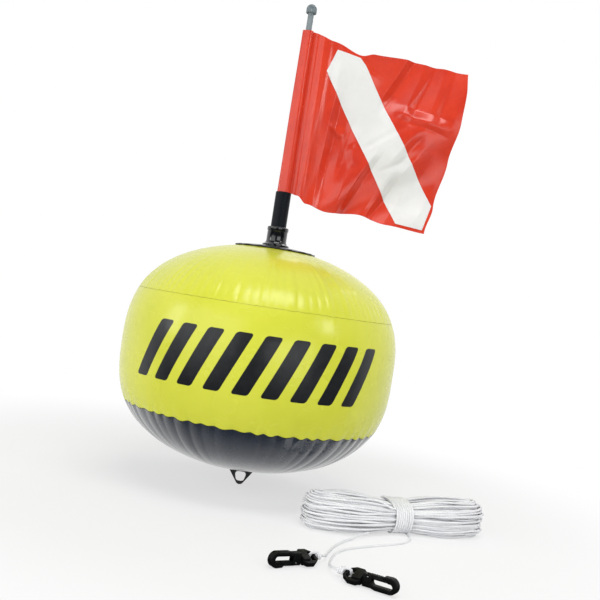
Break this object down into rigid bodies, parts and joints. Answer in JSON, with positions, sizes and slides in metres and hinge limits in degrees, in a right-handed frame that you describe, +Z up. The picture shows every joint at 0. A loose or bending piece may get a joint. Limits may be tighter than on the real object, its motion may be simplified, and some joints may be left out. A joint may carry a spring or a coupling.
{
  "type": "dive flag float",
  "caption": "Inflated round surface float with a plug-in mast, a red flag with a white diagonal, a tow tab, and a hanked line with snap hooks.",
  "frame": {"origin": "on the mast's axis at the lower seam, where the water's surface lies when the float rides", "axes": "+Z up along the mast, +X the way the flag flies, -Y towards the viewer; the valve is on +Y"},
  "size_m": [0.5373, 0.5911, 0.7204],
  "materials": {
    "yellow_film": "welded PVC film, satin gloss",
    "slate_film": "welded PVC film, satin",
    "black_film": "thick welded PVC film",
    "black_plastic": "moulded, glossy",
    "black_tube": "extruded sleeve, matte",
    "grey_rod": "pultruded rod, satin",
    "grey_plastic": "moulded, satin",
    "red_film": "PVC film, glossy",
    "white_film": "PVC film, satin",
    "white_line": "braided line, slightly fluffy",
    "hook_nylon": "moulded nylon, satin",
    "hook_pin": "dark steel pin",
    "spring_steel": "thin spring leaf"
  },
  "bodies": {
    "root": {"top_panel": "yellow_film", "side_band": "yellow_film", "bottom_panel": "slate_film", "top_disc": "black_film", "mast_socket": "black_plastic", "tow_tab": "black_film", "valve_body": "black_plastic", "line_hank": "white_line", "line_tail_a": "white_line", "line_tail_b": "white_line", "knot_a": "white_line", "knot_b": "white_line", "hook_a_eye": "hook_nylon", "hook_b_eye": "hook_nylon"},
    "mast": {"mast_tube": "black_tube", "mast_rod": "grey_rod", "mast_cap": "grey_plastic", "cap_pin": "grey_plastic"},
    "flag": {"flag_sheet": "red_film", "flag_stripe_front": "white_film", "flag_stripe_back": "white_film"},
    "valve_cap": {"valve_cap": "black_plastic"},
    "valve_flap": {"valve_flap": "black_film"},
    "hook_a": {"hook_a_body": "hook_nylon", "hook_a_pin": "hook_pin", "hook_a_spring": "spring_steel"},
    "hook_a_gate": {"hook_a_gate": "hook_nylon"},
    "hook_b": {"hook_b_body": "hook_nylon", "hook_b_pin": "hook_pin", "hook_b_spring": "spring_steel"},
    "hook_b_gate": {"hook_b_gate": "hook_nylon"}
  },
  "joints": [
    {"name": "mast_pull", "type": "slide", "parent": "root", "child": "mast", "axis": [0, 0, 1], "range_m": [0, 0.064]},
    {"name": "flag_swing", "type": "hinge", "parent": "mast", "child": "flag", "pos_m": [0, 0, 0.33], "axis": [0, 0, 1], "continuous": true},
    {"name": "valve_cap_flip", "type": "hinge", "parent": "root", "child": "valve_cap", "pos_m": [0, 0.13843, 0.22572], "axis": [-1, 0, 0], "range_deg": [0, 150]},
    {"name": "valve_flap_open", "type": "hinge", "parent": "root", "child": "valve_flap", "pos_m": [0, 0.12766, 0.21189], "axis": [1, 0, 0], "range_deg": [0, 35], "stiffness_Nm_per_rad": 0.0005, "springref_deg": -17.19},
    {"name": "hook_a_swivel", "type": "hinge", "parent": "root", "child": "hook_a", "pos_m": [0.0946, -0.3154, -0.1023], "axis": [-0.8182, -0.5729, 0.0471], "continuous": true},
    {"name": "hook_a_gate_open", "type": "hinge", "parent": "hook_a", "child": "hook_a_gate", "pos_m": [0.07128, -0.33173, -0.10516], "axis": [-0.5736, 0.8191, 0], "range_deg": [0, 15], "stiffness_Nm_per_rad": 0.02, "springref_deg": -20.05},
    {"name": "hook_b_swivel", "type": "hinge", "parent": "root", "child": "hook_b", "pos_m": [0.125, -0.3527, -0.1023], "axis": [0.8182, -0.5729, 0.0471], "continuous": true},
    {"name": "hook_b_gate_open", "type": "hinge", "parent": "hook_b", "child": "hook_b_gate", "pos_m": [0.14799, -0.3688, -0.09677], "axis": [0.5736, 0.8191, 0], "range_deg": [0, 15], "stiffness_Nm_per_rad": 0.02, "springref_deg": -20.05}
  ]
}
